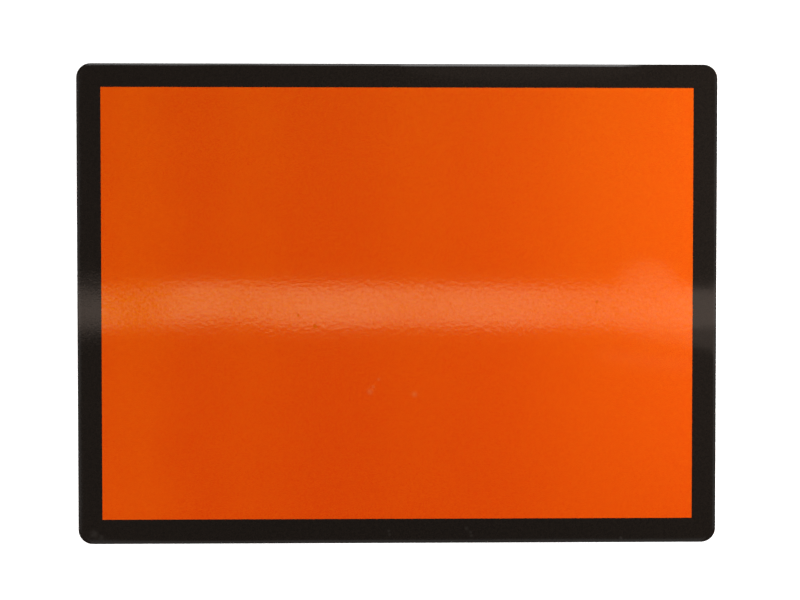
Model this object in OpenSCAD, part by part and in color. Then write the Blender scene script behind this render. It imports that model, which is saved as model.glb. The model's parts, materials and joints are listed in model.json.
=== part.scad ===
// Self-adhesive hazard panel for a vehicle that carries dangerous goods.
// An orange reflective film with a printed black border lies on its release liner, face up.
// X runs along the long side, +Y towards the top edge, +Z out of the printed face.
// The origin is the middle of the liner's underside.

/* [Panel] */
// Length of the panel, along its long side
panel_length = 400; // [250:1:600]
// Height of the panel, along its short side
panel_height = 300; // [150:1:450]
// Radius of the outer corners, cut through all the layers
corner_radius = 9; // [2:0.5:15]

/* [Print] */
// Width of the black border
border_width = 15; // [5:0.5:40]
// How far the print lies towards the top edge, because it is cut a little out of register
print_shift = 0.3; // [-1:0.1:1]
// Thickness of the screen-printed ink
ink_thickness = 0.03; // [0.02:0.01:0.1]

/* [Film] */
// Thickness of the orange film with the adhesive on its back
film_thickness = 0.2; // [0.1:0.01:0.5]

/* [Release liner] */
// Thickness of the liner paper
liner_thickness = 0.16; // [0.08:0.01:0.3]
// Width of the starter strip, the part of the liner that is peeled off first
starter_width = 60; // [20:1:100]
// Opening of the slit between the starter strip and the rest of the liner
slit_width = 0.4; // [0.2:0.1:1]

/* [Hidden] */
// Smoothness of the corner arcs
$fn = 96;

// Where each layer starts, from the underside up
film_level = liner_thickness;
ink_level = film_level + film_thickness;

// The orange field inside the border
field_length = panel_length - 2 * border_width;
field_height = panel_height - 2 * border_width;

// The starter strip begins at the left end, and the slit beside it runs the whole height
left_end = -panel_length / 2;
right_end = panel_length / 2;
slit_start = left_end + starter_width;
slit_end = slit_start + slit_width;

// The cut outline that the film, the ink and the liner share
module panel_outline() {
    arc_x = panel_length / 2 - corner_radius;
    arc_y = panel_height / 2 - corner_radius;
    square([panel_length, 2 * arc_y], center = true);
    square([2 * arc_x, panel_height], center = true);
    for (side = [-1, 1])
        for (end = [-1, 1])
            translate([end * arc_x, side * arc_y])
                circle(r = corner_radius);
}

// The orange field, with square corners, set off by the print's shift
module orange_field() {
    translate([0, print_shift])
        square([field_length, field_height], center = true);
}

// The stretch of the panel between two places along its length
module length_between(from_x, to_x) {
    translate([from_x, -panel_height / 2])
        square([to_x - from_x, panel_height]);
}

module face_film() {
    color("orangered")
        translate([0, 0, film_level])
            linear_extrude(height = film_thickness)
                panel_outline();
}

module border_print() {
    color([0.12, 0.1, 0.09])
        translate([0, 0, ink_level])
            linear_extrude(height = ink_thickness)
                difference() {
                    panel_outline();
                    orange_field();
                }
}

// One piece of the liner, cut to the panel's outline
module liner_piece(from_x, to_x) {
    color([0.93, 0.92, 0.88])
        linear_extrude(height = liner_thickness)
            intersection() {
                panel_outline();
                length_between(from_x, to_x);
            }
}

module liner_starter_strip() {
    liner_piece(left_end, slit_start);
}

module liner_sheet() {
    liner_piece(slit_end, right_end);
}

face_film();
border_print();
liner_sheet();
liner_starter_strip();
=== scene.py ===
# Looks of a self-adhesive hazard panel: orange reflective film with a printed black border,
# lying face up on its slit release liner. Metres throughout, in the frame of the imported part.
import json
import math

import bpy
from mathutils import Matrix, Vector

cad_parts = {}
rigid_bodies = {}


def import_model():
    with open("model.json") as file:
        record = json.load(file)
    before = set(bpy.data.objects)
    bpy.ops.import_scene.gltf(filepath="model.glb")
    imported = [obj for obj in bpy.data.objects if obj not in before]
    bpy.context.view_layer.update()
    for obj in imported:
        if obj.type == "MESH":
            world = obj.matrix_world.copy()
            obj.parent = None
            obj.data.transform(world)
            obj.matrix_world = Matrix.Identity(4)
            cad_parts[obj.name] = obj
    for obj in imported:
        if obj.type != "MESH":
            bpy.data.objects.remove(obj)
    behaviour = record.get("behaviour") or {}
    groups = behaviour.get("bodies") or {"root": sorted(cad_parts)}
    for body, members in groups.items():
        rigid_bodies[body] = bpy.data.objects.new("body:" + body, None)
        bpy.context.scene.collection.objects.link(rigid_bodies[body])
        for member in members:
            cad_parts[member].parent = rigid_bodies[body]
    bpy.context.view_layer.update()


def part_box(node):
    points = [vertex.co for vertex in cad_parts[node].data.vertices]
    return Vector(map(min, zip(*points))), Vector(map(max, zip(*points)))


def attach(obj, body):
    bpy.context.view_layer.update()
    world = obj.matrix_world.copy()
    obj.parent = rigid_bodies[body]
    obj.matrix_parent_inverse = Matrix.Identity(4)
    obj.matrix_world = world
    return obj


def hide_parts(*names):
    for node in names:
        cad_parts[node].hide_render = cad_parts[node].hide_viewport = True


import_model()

MM = 0.001

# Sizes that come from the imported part
FILM_LOW, FILM_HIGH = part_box("face_film")
INK_LOW, INK_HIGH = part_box("border_print")
LINER_LOW, LINER_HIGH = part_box("liner_sheet")
STRIP_LOW, STRIP_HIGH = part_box("liner_starter_strip")
PANEL_LENGTH = FILM_HIGH.x - FILM_LOW.x
PANEL_HEIGHT = FILM_HIGH.y - FILM_LOW.y

# Sizes of the print and the cut, as in the part
CORNER_RADIUS = 9 * MM
BORDER_WIDTH = 15 * MM
PRINT_SHIFT = 0.3 * MM
CORNER_SEGMENTS = 14

# The sheet isn't perfectly flat: its face has soft waves about a tenth of a millimetre deep.
# Each wave has its middle and its reach along the sheet in millimetres, and its share of the depth.
WAVE_DEPTH = 0.11 * MM
WAVE_LENGTH = 95 * MM
WAVES = ((-112, 24, 1.0), (-192, 26, -0.8), (112, 30, -0.4), (196, 24, -0.8))
# A longer and shallower swell crosses them, running mostly along the sheet
SWELL_SHARE = 0.25
SWELL_LENGTH = 130 * MM
SWELL_SLANT = 0.4
# A shallow dent right of the middle, a little longer along X than it is high
DENT_X = 160 * MM
DENT_Y = 10 * MM
DENT_REACH = 7 * MM
DENT_DEPTH = 0.045 * MM
DENT_STRETCH = 1.6
# The cutting die presses the edge of the face down over a narrow band, but never through the film
ROLL_WIDTH = 1.8 * MM
ROLL_DEPTH = 0.09 * MM
DEEPEST = 0.15 * MM
EDGE_LOOPS = (0.15 * MM, 0.35 * MM, 0.5 * MM, 0.8 * MM)
GRID_STEP = 4 * MM


def deselect_everything():
    for thing in bpy.context.scene.objects:
        thing.select_set(False)


def edit(piece, select_mode="VERT"):
    """Opens a piece in edit mode with nothing selected."""
    deselect_everything()
    bpy.context.view_layer.objects.active = piece
    piece.select_set(True)
    bpy.ops.object.mode_set(mode="EDIT")
    bpy.ops.mesh.select_mode(type=select_mode)
    bpy.ops.mesh.select_all(action="DESELECT")


def select_faces(piece, wanted):
    """Selects the faces whose middle and normal pass a test, in edit mode."""
    bpy.ops.object.mode_set(mode="OBJECT")
    for face in piece.data.polygons:
        face.select = wanted(face.center, face.normal)
    bpy.ops.object.mode_set(mode="EDIT")


def cut_across(point, normal, clear_outer=False):
    """Cuts all faces along a plane, and can take away what lies beyond it."""
    bpy.ops.mesh.select_all(action="SELECT")
    bpy.ops.mesh.bisect(plane_co=point, plane_no=normal, clear_outer=clear_outer)


def cut_outline(name, low, loops=()):
    """The die-cut outline of the panel as one flat face, with its four corners rounded.
    Loops inset one inside the other give its edge faces that follow the outline."""
    deselect_everything()
    middle = ((FILM_LOW.x + FILM_HIGH.x) / 2, (FILM_LOW.y + FILM_HIGH.y) / 2, low)
    bpy.ops.mesh.primitive_plane_add(size=1, location=middle)
    piece = bpy.context.object
    piece.name = name
    piece.data.name = name
    piece.scale = (PANEL_LENGTH, PANEL_HEIGHT, 1)
    bpy.ops.object.transform_apply(location=True, rotation=True, scale=True)
    edit(piece)
    bpy.ops.mesh.select_all(action="SELECT")
    bpy.ops.mesh.bevel(offset=CORNER_RADIUS, segments=CORNER_SEGMENTS, affect="VERTICES")
    bpy.ops.mesh.select_mode(type="FACE")
    bpy.ops.mesh.select_all(action="SELECT")
    for width in loops:
        bpy.ops.mesh.inset(thickness=width, depth=0, use_even_offset=True)
    bpy.ops.mesh.select_mode(type="VERT")
    return piece


def thicken(piece, thickness):
    """Raises the flat outline to a closed sheet of one thickness, in edit mode."""
    bpy.ops.mesh.select_all(action="SELECT")
    bpy.ops.mesh.extrude_region_move(
        TRANSFORM_OT_translate={"value": (0, 0, thickness)})
    bpy.ops.mesh.select_all(action="SELECT")
    bpy.ops.mesh.normals_make_consistent(inside=False)


def cut_grid():
    """Cuts a sheet into a grid of small faces, in edit mode, so that it can take soft waves."""
    columns = round(PANEL_LENGTH / GRID_STEP)
    rows = round(PANEL_HEIGHT / GRID_STEP)
    for column in range(1, columns):
        cut_across((FILM_LOW.x + PANEL_LENGTH * column / columns, 0, 0), (1, 0, 0))
    for row in range(1, rows):
        cut_across((0, FILM_LOW.y + PANEL_HEIGHT * row / rows, 0), (0, 1, 0))


def distance_to_edge(x, y):
    """How far a point of the face lies inside the rounded outline."""
    past_x = abs(x) - (PANEL_LENGTH / 2 - CORNER_RADIUS)
    past_y = abs(y) - (PANEL_HEIGHT / 2 - CORNER_RADIUS)
    if past_x > 0 and past_y > 0:
        return CORNER_RADIUS - math.hypot(past_x, past_y)
    return CORNER_RADIUS - max(past_x, past_y)


def wave(x, y):
    """Height of the face below its highest level, in long soft waves across the sheet."""
    tilt = sum(share * math.exp(-((x / MM - middle) / reach) ** 2 / 2)
               for middle, reach, share in WAVES)
    across = math.sin(2 * math.pi * y / WAVE_LENGTH)
    swell = SWELL_SHARE * math.sin(2 * math.pi * (x + SWELL_SLANT * y) / SWELL_LENGTH)
    dent = math.exp(-((x - DENT_X) ** 2 / DENT_STRETCH + (y - DENT_Y) ** 2) / DENT_REACH ** 2 / 2)
    return -WAVE_DEPTH * (1 - (tilt * across + swell) / (1 + SWELL_SHARE)) / 2 - DENT_DEPTH * dent


def sink(x, y):
    """How far the face lies below its highest level: its waves, and the edge the die pressed down."""
    waved = wave(x, y)
    share = max(0, 1 - max(distance_to_edge(x, y), 0) / ROLL_WIDTH)
    return waved - min(ROLL_DEPTH, DEEPEST + waved) * share * share


def settle_face(piece, level):
    """Moves all points of a sheet above a level with the waves and the pressed edge."""
    for point in piece.data.vertices:
        if point.co.z > level:
            point.co.z += sink(point.co.x, point.co.y)


def finish_sheet(piece):
    """Leaves edit mode and shades the sheet smooth, with its cut edges sharp."""
    bpy.ops.object.mode_set(mode="OBJECT")
    bpy.ops.object.shade_smooth_by_angle(angle=math.radians(35))


def make_face_film():
    """The orange film: its underside lies flat on the liner, and its face takes the waves."""
    piece = cut_outline("orange_face_film", FILM_LOW.z, EDGE_LOOPS)
    thicken(piece, FILM_HIGH.z - FILM_LOW.z)
    cut_grid()
    finish_sheet(piece)
    settle_face(piece, (FILM_LOW.z + FILM_HIGH.z) / 2)
    return piece


def make_border_print():
    """The black ink: a closed frame, rounded outside and square inside, that follows the film."""
    piece = cut_outline("black_border_print", INK_LOW.z, EDGE_LOOPS)
    field_x = PANEL_LENGTH / 2 - BORDER_WIDTH
    field_y = PANEL_HEIGHT / 2 - BORDER_WIDTH
    for side in (-1, 1):
        cut_across((side * field_x, 0, 0), (1, 0, 0))
        cut_across((0, side * field_y + PRINT_SHIFT, 0), (0, 1, 0))
    select_faces(piece, lambda middle, normal: (
        abs(middle.x) < field_x and abs(middle.y - PRINT_SHIFT) < field_y))
    bpy.ops.mesh.delete(type="FACE")
    thicken(piece, INK_HIGH.z - INK_LOW.z)
    cut_grid()
    finish_sheet(piece)
    settle_face(piece, 0)
    return piece


def make_liner_piece(name, low, high):
    """One piece of the liner, cut from the panel's outline between its two ends."""
    piece = cut_outline(name, low.z)
    for end, side in ((low.x, -1), (high.x, 1)):
        cut_across((end, 0, 0), (side, 0, 0), clear_outer=True)
    thicken(piece, high.z - low.z)
    finish_sheet(piece)
    return piece


def new_material(name):
    """A material with its nodes and links, which starts as one Principled shader."""
    made = bpy.data.materials.new(name)
    made.use_nodes = True
    return made, made.node_tree.nodes, made.node_tree.links


def feed(links, socket, value):
    """Gives a socket its value, which is either another socket or a plain number or colour."""
    if isinstance(value, (int, float, tuple)):
        socket.default_value = value
    else:
        links.new(value, socket)


def add_math(nodes, links, operation, *values):
    """A math node on two or three values. Returns its result."""
    node = nodes.new("ShaderNodeMath")
    node.operation = operation
    for socket, value in zip(node.inputs, values):
        feed(links, socket, value)
    return node.outputs[0]


def add_noise(nodes, links, place, scale, detail):
    """Soft noise round 0.5. Its scale is a plain number or a socket."""
    noise = nodes.new("ShaderNodeTexNoise")
    noise.inputs["Detail"].default_value = detail
    links.new(place, noise.inputs["Vector"])
    feed(links, noise.inputs["Scale"], scale)
    return noise.outputs["Fac"]


def mix_colours(nodes, links, factor, first, second):
    """A blend of two colours, through the Mix node's colour sockets. Returns its result."""
    mix = nodes.new("ShaderNodeMix")
    mix.data_type = "RGBA"
    links.new(factor, mix.inputs["Factor"])
    feed(links, mix.inputs[6], first)
    feed(links, mix.inputs[7], second)
    return mix.outputs[2]


def object_place(nodes):
    """The place on the sheet, in metres in the part's own frame."""
    return nodes.new("ShaderNodeTexCoord").outputs["Object"]


def place_along_x(nodes, links, place):
    """How far along the sheet a place lies, in metres from its middle."""
    split = nodes.new("ShaderNodeSeparateXYZ")
    links.new(place, split.inputs[0])
    return split.outputs["X"]


def add_bump(nodes, links, height, depth, shader, sockets):
    """Raises a height by a depth in metres, for each of the shader's sockets that are named."""
    bump = nodes.new("ShaderNodeBump")
    bump.inputs["Strength"].default_value = 1
    bump.inputs["Distance"].default_value = depth
    links.new(height, bump.inputs["Height"])
    for socket in sockets:
        links.new(bump.outputs[0], shader.inputs[socket])


def new_group(name, numbers, results):
    """A node group with a vector called Place, named number inputs and named number results."""
    group = bpy.data.node_groups.new(name, "ShaderNodeTree")
    group.interface.new_socket(name="Place", in_out="INPUT", socket_type="NodeSocketVector")
    for label, value in numbers.items():
        made = group.interface.new_socket(name=label, in_out="INPUT", socket_type="NodeSocketFloat")
        made.default_value = value
    for label in results:
        group.interface.new_socket(name=label, in_out="OUTPUT", socket_type="NodeSocketFloat")
    start = group.nodes.new("NodeGroupInput")
    end = group.nodes.new("NodeGroupOutput")
    return group, group.nodes, group.links, start, end


def add_group(nodes, links, group, place, **numbers):
    """Places a group in a material. Underscores in the names of its inputs stand for spaces."""
    node = nodes.new("ShaderNodeGroup")
    node.node_tree = group
    links.new(place, node.inputs["Place"])
    for label, value in numbers.items():
        feed(links, node.inputs[label.replace("_", " ")], value)
    return node.outputs[0]


def make_peel_group():
    """Orange peel: the fine unevenness of a coated or printed film, a little drawn out along X."""
    group, nodes, links, start, end = new_group(
        "orange_peel", {"Coarse Scale": 160, "Fine Scale": 600, "Fine Share": 0.3}, ["Height"])
    stretch = nodes.new("ShaderNodeMapping")
    stretch.inputs["Scale"].default_value = (0.8, 1, 1)
    links.new(start.outputs["Place"], stretch.inputs["Vector"])
    coarse = add_noise(nodes, links, stretch.outputs[0], start.outputs["Coarse Scale"], 1)
    fine = add_noise(nodes, links, stretch.outputs[0], start.outputs["Fine Scale"], 1)
    height = add_math(nodes, links, "MULTIPLY_ADD", fine, start.outputs["Fine Share"], coarse)
    links.new(height, end.inputs["Height"])
    return group


def make_gloss_cells_group():
    """Gloss of a surface that is clear in some of its tiny cells and hazy in the others."""
    group, nodes, links, start, end = new_group(
        "gloss_cells",
        {"Cell Size": 0.0001, "Clear Share": 0.7, "Clear Roughness": 0.06, "Hazy Roughness": 0.45},
        ["Roughness"])
    snap = nodes.new("ShaderNodeVectorMath")
    snap.operation = "SNAP"
    links.new(start.outputs["Place"], snap.inputs[0])
    links.new(start.outputs["Cell Size"], snap.inputs[1])
    dice = nodes.new("ShaderNodeTexWhiteNoise")
    dice.noise_dimensions = "3D"
    links.new(snap.outputs[0], dice.inputs["Vector"])
    hazy = add_math(nodes, links, "GREATER_THAN", dice.outputs["Value"], start.outputs["Clear Share"])
    choice = nodes.new("ShaderNodeMix")
    choice.data_type = "FLOAT"
    links.new(hazy, choice.inputs["Factor"])
    links.new(start.outputs["Clear Roughness"], choice.inputs["A"])
    links.new(start.outputs["Hazy Roughness"], choice.inputs["B"])
    links.new(choice.outputs["Result"], end.inputs["Roughness"])
    return group


def make_soft_spot_group():
    """A round mark on a face: 1 at its middle, fading to 0 at its radius."""
    group, nodes, links, start, end = new_group(
        "soft_spot", {"X": 0, "Y": 0, "Radius": 0.001}, ["Mask"])
    middle = nodes.new("ShaderNodeCombineXYZ")
    links.new(start.outputs["X"], middle.inputs["X"])
    links.new(start.outputs["Y"], middle.inputs["Y"])
    flat = nodes.new("ShaderNodeVectorMath")
    flat.operation = "MULTIPLY"
    flat.inputs[1].default_value = (1, 1, 0)
    links.new(start.outputs["Place"], flat.inputs[0])
    apart = nodes.new("ShaderNodeVectorMath")
    apart.operation = "DISTANCE"
    links.new(flat.outputs[0], apart.inputs[0])
    links.new(middle.outputs[0], apart.inputs[1])
    fade = nodes.new("ShaderNodeMapRange")
    fade.interpolation_type = "SMOOTHSTEP"
    fade.inputs["To Min"].default_value = 1
    fade.inputs["To Max"].default_value = 0
    links.new(apart.outputs["Value"], fade.inputs["Value"])
    links.new(start.outputs["Radius"], fade.inputs["From Max"])
    links.new(fade.outputs[0], end.inputs["Mask"])
    return group


PEEL = make_peel_group()
GLOSS_CELLS = make_gloss_cells_group()
SOFT_SPOT = make_soft_spot_group()

# Small marks that the photo shows: middle and radius, all in millimetres
# Pits in the film: their coat is missing, and their darker colour is painted shade
FILM_PITS_AND_PAINTED_SHADE = ((-51.8, -13.9, 2.2), (-62.5, -6.9, 1.2), (124.7, 1.6, 1.3))
FILM_SMUDGES = ((-17.6, -54.6, 3.2), (-15.6, -51.6, 1.8), (-12.2, -47.0, 1.6), (10.3, -56.4, 3.0))
# Spots on the ink: the scuffing dulls their coat, and their paler grey colour is a painted reflection
INK_SCUFFS_AND_PAINTED_REFLECTIONS = ((43.0, -140.8, 1.8), (46.0, -145.6, 1.4), (45.6, -143.4, 1.4), (-5.4, -144.6, 1.4),
              (-6.0, -142.4, 1.4), (140.4, -147.4, 1.6), (-190.5, -143.6, 4.2), (-186.0, -146.0, 2.6))


def add_spots(nodes, links, place, spots):
    """All the marks of one kind as one mask."""
    mask = 0.0
    for x, y, radius in spots:
        spot = add_group(nodes, links, SOFT_SPOT, place, X=x * MM, Y=y * MM, Radius=radius * MM)
        mask = add_math(nodes, links, "MAXIMUM", spot, mask)
    return mask


# Where the film's clear coating is hazier, from the left end to the right: millimetres and strength
HAZE_ZONES = (
    (-185, 0.6), (-166, 0.95), (-148, 0.7), (-124, 0.05), (-92, 0.65), (-62, 0.0), (-20, 0.0),
    (10, 0.35), (40, 0.0), (80, 0.1), (115, 0.5), (145, 0.4), (170, 0.3), (190, 0.2))
# The limits of the zones waver by this much, in patches of about 35 mm
HAZE_WAVER = 30 * MM
HAZE_WAVER_SCALE = 28


def haze_along_sheet(nodes, links, place):
    """How hazy the coating is, in soft zones along the sheet with wavering limits."""
    waver = add_noise(nodes, links, place, HAZE_WAVER_SCALE, 0)
    shift = add_math(nodes, links, "MULTIPLY", waver, HAZE_WAVER)
    along = add_math(nodes, links, "ADD", place_along_x(nodes, links, place), shift)
    from_end = add_math(nodes, links, "ADD", along, PANEL_LENGTH / 2 - HAZE_WAVER / 2)
    ramp = nodes.new("ShaderNodeValToRGB")
    ramp.color_ramp.interpolation = "B_SPLINE"
    links.new(add_math(nodes, links, "DIVIDE", from_end, PANEL_LENGTH), ramp.inputs[0])
    stops = ramp.color_ramp.elements
    while len(stops) < len(HAZE_ZONES):
        stops.new(0.5)
    for stop, (middle, strength) in zip(stops, HAZE_ZONES):
        stop.position = middle * MM / PANEL_LENGTH + 0.5
        stop.color = (strength, strength, strength, 1)
    return ramp.outputs[0]


# Colours of the dyed film: clean, rubbed pale, and a darker orange painted as the shade in a pit
FILM_ORANGE = (0.785, 0.032, 0.0, 1)
RUBBED_ORANGE = (0.73, 0.11, 0.03, 1)
PAINTED_PIT_SHADE_ORANGE = (0.52, 0.016, 0.0, 1)


def make_orange_film():
    """Reflective film: a clear coat that mirrors white, over a dyed layer that mirrors yellow."""
    made, nodes, links = new_material("orange_film")
    shader = nodes["Principled BSDF"]
    shader.inputs["IOR"].default_value = 2.2
    shader.inputs["Specular Tint"].default_value = (0.78, 0.92, 0.02, 1)
    shader.inputs["Coat IOR"].default_value = 1.6
    shader.inputs["Coat Roughness"].default_value = 0.05
    place = object_place(nodes)

    # The dye, with its rubbed marks, and painted shade darkening it in its pits
    smudges = add_math(nodes, links, "MULTIPLY", add_spots(nodes, links, place, FILM_SMUDGES), 0.6)
    rubbed = mix_colours(nodes, links, smudges, FILM_ORANGE, RUBBED_ORANGE)
    pits_and_painted_shade = add_spots(nodes, links, place, FILM_PITS_AND_PAINTED_SHADE)
    painted_pit_shade = add_math(nodes, links, "MULTIPLY", pits_and_painted_shade, 0.8)
    links.new(mix_colours(nodes, links, painted_pit_shade, rubbed, PAINTED_PIT_SHADE_ORANGE), shader.inputs["Base Color"])

    # The coat is thinner in the haze and in fine patches, and missing in the pits
    haze = haze_along_sheet(nodes, links, place)
    pitted = add_math(nodes, links, "MULTIPLY", pits_and_painted_shade, 1.3)
    dulled = add_math(nodes, links, "MULTIPLY_ADD", haze, 0.7, pitted)
    clear = add_math(nodes, links, "SUBTRACT", 1.55, dulled)
    mottle = add_noise(nodes, links, place, 560, 1)
    patchy = add_math(nodes, links, "MULTIPLY", mottle, 1.5)
    links.new(add_math(nodes, links, "SUBTRACT", clear, patchy), shader.inputs["Coat Weight"])

    # The dyed layer has fewer clear cells towards the right end, in the haze and in the pits
    from_middle = place_along_x(nodes, links, place)
    along = add_math(nodes, links, "MULTIPLY_ADD", from_middle, -0.65, 0.49)
    fewer = add_math(nodes, links, "MULTIPLY_ADD", haze, 0.3, pits_and_painted_shade)
    share = add_math(nodes, links, "SUBTRACT", along, fewer)
    gloss = add_group(nodes, links, GLOSS_CELLS, place,
                      Clear_Share=share, Clear_Roughness=0.07, Hazy_Roughness=0.5)
    links.new(gloss, shader.inputs["Roughness"])

    fine = add_math(nodes, links, "MULTIPLY_ADD", haze, 0.15, 0.18)
    peel = add_group(nodes, links, PEEL, place, Coarse_Scale=430, Fine_Scale=1500, Fine_Share=fine)
    add_bump(nodes, links, peel, 0.012 * MM, shader, ("Normal", "Coat Normal"))
    return made


# Colours of the ink, in its darker and its paler specks, and the paler grey of the reflections
# painted on its scuffs
INK_DARK = (0.0040, 0.0028, 0.0022, 1)
INK_PALE = (0.0112, 0.0080, 0.0060, 1)
INK_PAINTED_REFLECTION = (0.030, 0.026, 0.023, 1)
# The ink's peel gets rougher from the first place to the second, close to the left end
INK_SMOOTH_TO = -160 * MM
INK_ROUGH_FROM = -195 * MM


def make_black_ink():
    """Screen ink: a clear gloss over a faint warm haze, rougher at the left end, with dull scuffs on
    which small reflections are painted as a paler grey.
    """
    made, nodes, links = new_material("black_ink")
    shader = nodes["Principled BSDF"]
    shader.inputs["Roughness"].default_value = 0.43
    shader.inputs["Specular IOR Level"].default_value = 0.11
    shader.inputs["Specular Tint"].default_value = (1, 0.76, 0.6, 1)
    shader.inputs["Coat Roughness"].default_value = 0.05
    place = object_place(nodes)

    mottle = add_noise(nodes, links, place, 480, 2)
    inked = mix_colours(nodes, links, mottle, INK_DARK, INK_PALE)
    # The scuffs dull the coat, and their paler grey colour is a painted reflection
    scuffs_and_painted_reflections = add_math(nodes, links, "MULTIPLY", add_spots(nodes, links, place, INK_SCUFFS_AND_PAINTED_REFLECTIONS), mottle)
    links.new(mix_colours(nodes, links, scuffs_and_painted_reflections, inked, INK_PAINTED_REFLECTION), shader.inputs["Base Color"])
    dull = add_math(nodes, links, "MULTIPLY", scuffs_and_painted_reflections, 0.8)
    links.new(add_math(nodes, links, "SUBTRACT", 0.9, dull), shader.inputs["Coat Weight"])

    rougher = nodes.new("ShaderNodeMapRange")
    rougher.interpolation_type = "SMOOTHSTEP"
    rougher.inputs["From Min"].default_value = INK_SMOOTH_TO
    rougher.inputs["From Max"].default_value = INK_ROUGH_FROM
    links.new(place_along_x(nodes, links, place), rougher.inputs["Value"])
    fine = add_math(nodes, links, "MULTIPLY_ADD", rougher.outputs[0], 1.2, 0.15)
    peel = add_group(nodes, links, PEEL, place, Coarse_Scale=120, Fine_Scale=1500, Fine_Share=fine)
    add_bump(nodes, links, peel, 0.008 * MM, shader, ("Normal", "Coat Normal"))
    return made


def make_liner_paper():
    """Bleached release paper: fine fibres under a satin silicone coating."""
    made, nodes, links = new_material("liner_paper")
    shader = nodes["Principled BSDF"]
    place = object_place(nodes)
    fibres = add_noise(nodes, links, place, 1400, 3)
    paper = mix_colours(nodes, links, fibres, (0.84, 0.82, 0.76, 1), (0.72, 0.69, 0.62, 1))
    links.new(paper, shader.inputs["Base Color"])
    rough = add_math(nodes, links, "MULTIPLY_ADD", fibres, 0.2, 0.35)
    links.new(rough, shader.inputs["Roughness"])
    add_bump(nodes, links, fibres, 0.008 * MM, shader, ("Normal",))
    return made


face_film = make_face_film()
border_print = make_border_print()
liner_sheet = make_liner_piece("liner_paper_sheet", LINER_LOW, LINER_HIGH)
liner_strip = make_liner_piece("liner_paper_starter_strip", STRIP_LOW, STRIP_HIGH)

liner_paper = make_liner_paper()
face_film.data.materials.append(make_orange_film())
border_print.data.materials.append(make_black_ink())
liner_sheet.data.materials.append(liner_paper)
liner_strip.data.materials.append(liner_paper)


FLOOR_SIZE = 30
FLOOR_GAP = 0.02 * MM
FLOOR_LIFT = 0.6


def make_floor():
    """A white studio floor just under the liner, lifted to white for what the camera can see."""
    deselect_everything()
    bpy.ops.mesh.primitive_plane_add(size=FLOOR_SIZE, location=(0, 0, LINER_LOW.z - FLOOR_GAP))
    floor = bpy.context.object
    floor.name = "studio_floor"
    made, nodes, links = new_material("studio_floor_white")
    shader = nodes["Principled BSDF"]
    shader.inputs["Base Color"].default_value = (0.8, 0.8, 0.8, 1)
    shader.inputs["Roughness"].default_value = 0.9
    shader.inputs["Emission Color"].default_value = (1, 1, 1, 1)
    ray = nodes.new("ShaderNodeLightPath").outputs
    seen = add_math(nodes, links, "MAXIMUM", ray["Is Camera Ray"], ray["Is Glossy Ray"])
    seen = add_math(nodes, links, "MAXIMUM", seen, ray["Is Transmission Ray"])
    lift = add_math(nodes, links, "MULTIPLY", seen, FLOOR_LIFT)
    links.new(lift, shader.inputs["Emission Strength"])
    floor.data.materials.append(made)


def make_world():
    """A pale studio: white round the horizon and dim overhead, so the flat face mirrors no white."""
    world = bpy.data.worlds.new("studio")
    bpy.context.scene.world = world
    world.use_nodes = True
    nodes = world.node_tree.nodes
    links = world.node_tree.links
    place = nodes.new("ShaderNodeTexCoord")
    split = nodes.new("ShaderNodeSeparateXYZ")
    ramp = nodes.new("ShaderNodeValToRGB")
    links.new(place.outputs["Generated"], split.inputs[0])
    links.new(split.outputs["Z"], ramp.inputs[0])
    ramp.color_ramp.elements[0].position = 0.2
    ramp.color_ramp.elements[0].color = (1, 1, 1, 1)
    ramp.color_ramp.elements[1].position = 0.7
    ramp.color_ramp.elements[1].color = (0.03, 0.03, 0.03, 1)
    links.new(ramp.outputs[0], nodes["Background"].inputs["Color"])


def add_lamp(name, place, aim, size, radiance, colour=(1, 1, 1), turn=0, shape="RECTANGLE"):
    """A soft lamp whose face has the given brightness, where 1 is white.
    It can be turned on its own face by some degrees."""
    data = bpy.data.lights.new(name, "AREA")
    data.shape = shape
    data.size, data.size_y = size
    data.energy = radiance * math.pi * size[0] * size[1]
    if shape == "ELLIPSE":
        data.energy *= math.pi / 4
    data.color = colour
    lamp = bpy.data.objects.new(name, data)
    bpy.context.scene.collection.objects.link(lamp)
    lamp.location = place
    lamp.rotation_euler = (Vector(aim) - Vector(place)).to_track_quat("-Z", "Y").to_euler()
    lamp.rotation_euler.rotate_axis("Z", math.radians(turn))


CAMERA_PLACE = Vector((-24.5 * MM, 36.4 * MM, 1111.9 * MM))
CAMERA_AIM = Vector((1.17 * MM, 2.74 * MM, 0))


def make_camera():
    """An 80 mm lens just off square to the sheet, as a fit to the photo's four edges gives it."""
    data = bpy.data.cameras.new("camera")
    data.lens = 80
    data.sensor_width = 36
    camera = bpy.data.objects.new("camera", data)
    bpy.context.scene.collection.objects.link(camera)
    back = (CAMERA_PLACE - CAMERA_AIM).normalized()
    right = Vector((0, 1, 0)).cross(back).normalized()
    turn = Matrix((right, back.cross(right), back)).transposed()
    camera.matrix_world = Matrix.Translation(CAMERA_PLACE) @ turn.to_4x4()
    bpy.context.scene.camera = camera


make_floor()
make_world()
make_camera()

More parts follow.
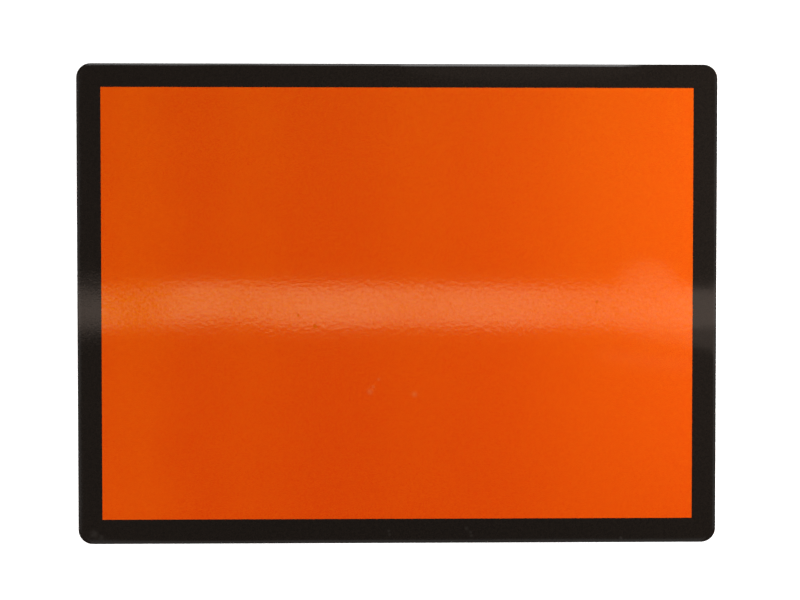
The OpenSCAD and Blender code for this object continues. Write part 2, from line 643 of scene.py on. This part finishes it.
# Overhead lamps: place, size along X and Y, brightness, colour and turn. The strips hang level with
# the camera and make the reflected band. The rest are mirrored by the pressed edge as a thin rim.
STRIP_LEVEL = 1.113
RIM_LEVEL = 1.5
WARM = (1.25, 0.98, 0.83)
WHITE = (1, 1, 1)
OVERHEAD_LAMPS = (
    ("strip_lamp", (0.03, -0.0385, STRIP_LEVEL), (1.1, 0.05), 1.08, WARM, 0),
    ("strip_end", (0.48, -0.037, STRIP_LEVEL), (0.28, 0.052), 0.5, WARM, 0),
    ("strip_wedge", (0.43, -0.079, STRIP_LEVEL), (0.27, 0.036), 0.45, WARM, -12),
    ("low_streak", (0.334, -0.109, STRIP_LEVEL), (0.12, 0.014), 0.2, WARM, -9),
    ("right_rim_lamp", (0.69, -0.05, RIM_LEVEL), (0.3, 0.7), 0.38, WHITE, 0),
    ("bottom_rim_lamp", (0.03, -0.58, RIM_LEVEL), (0.95, 0.3), 0.38, WHITE, 0),
    ("left_rim_lamp", (-0.62, -0.05, RIM_LEVEL), (0.3, 0.7), 0.38, WHITE, 0),
)
for name, place, size, radiance, colour, turn in OVERHEAD_LAMPS:
    add_lamp(name, place, (place[0], place[1], 0), size, radiance, colour, turn)

# Soft oval lamps, mirrored as a glow on the top border and as a bright spot on the dent:
# place along X and Y, length, width and brightness
GLOW_LAMPS = (
    ("border_glow", 0.187, 0.262, 0.3, 0.042, 0.1),
    ("border_glow_core", 0.192, 0.262, 0.16, 0.034, 0.17),
    ("dent_glow", 0.338, -0.004, 0.07, 0.038, 0.5),
)
for name, x, y, length, width, radiance in GLOW_LAMPS:
    add_lamp(name, (x, y, STRIP_LEVEL), (x, y, 0), (length, width), radiance, WARM, 0, "ELLIPSE")

# Lamps that lean in over the sheet: the first two light its top edge, the others its whole face
add_lamp("top_lamp", (0.21, 0.56, RIM_LEVEL), (0.21, 0.1, 0), (0.34, 0.39), 2.4)
add_lamp("top_strip", (-0.04, 0.57, RIM_LEVEL), (-0.04, 0.1, 0), (0.87, 0.33), 2.3)
add_lamp("right_lamp", (0.634, 0.087, 0.22), (0.1, 0.02, 0), (0.3, 0.3), 17.2)
add_lamp("left_lamp", (-1.18, -0.49, 0.53), (0, 0, 0), (0.6, 0.6), 13.1)

bpy.context.scene.view_settings.view_transform = "Standard"

for piece, node, slot in (
    (face_film, "face_film", "orange_film"),
    (border_print, "border_print", "black_ink"),
    (liner_sheet, "liner_sheet", "liner_paper"),
    (liner_strip, "liner_starter_strip", "liner_paper"),
):
    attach(piece, "root")
    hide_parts(node)
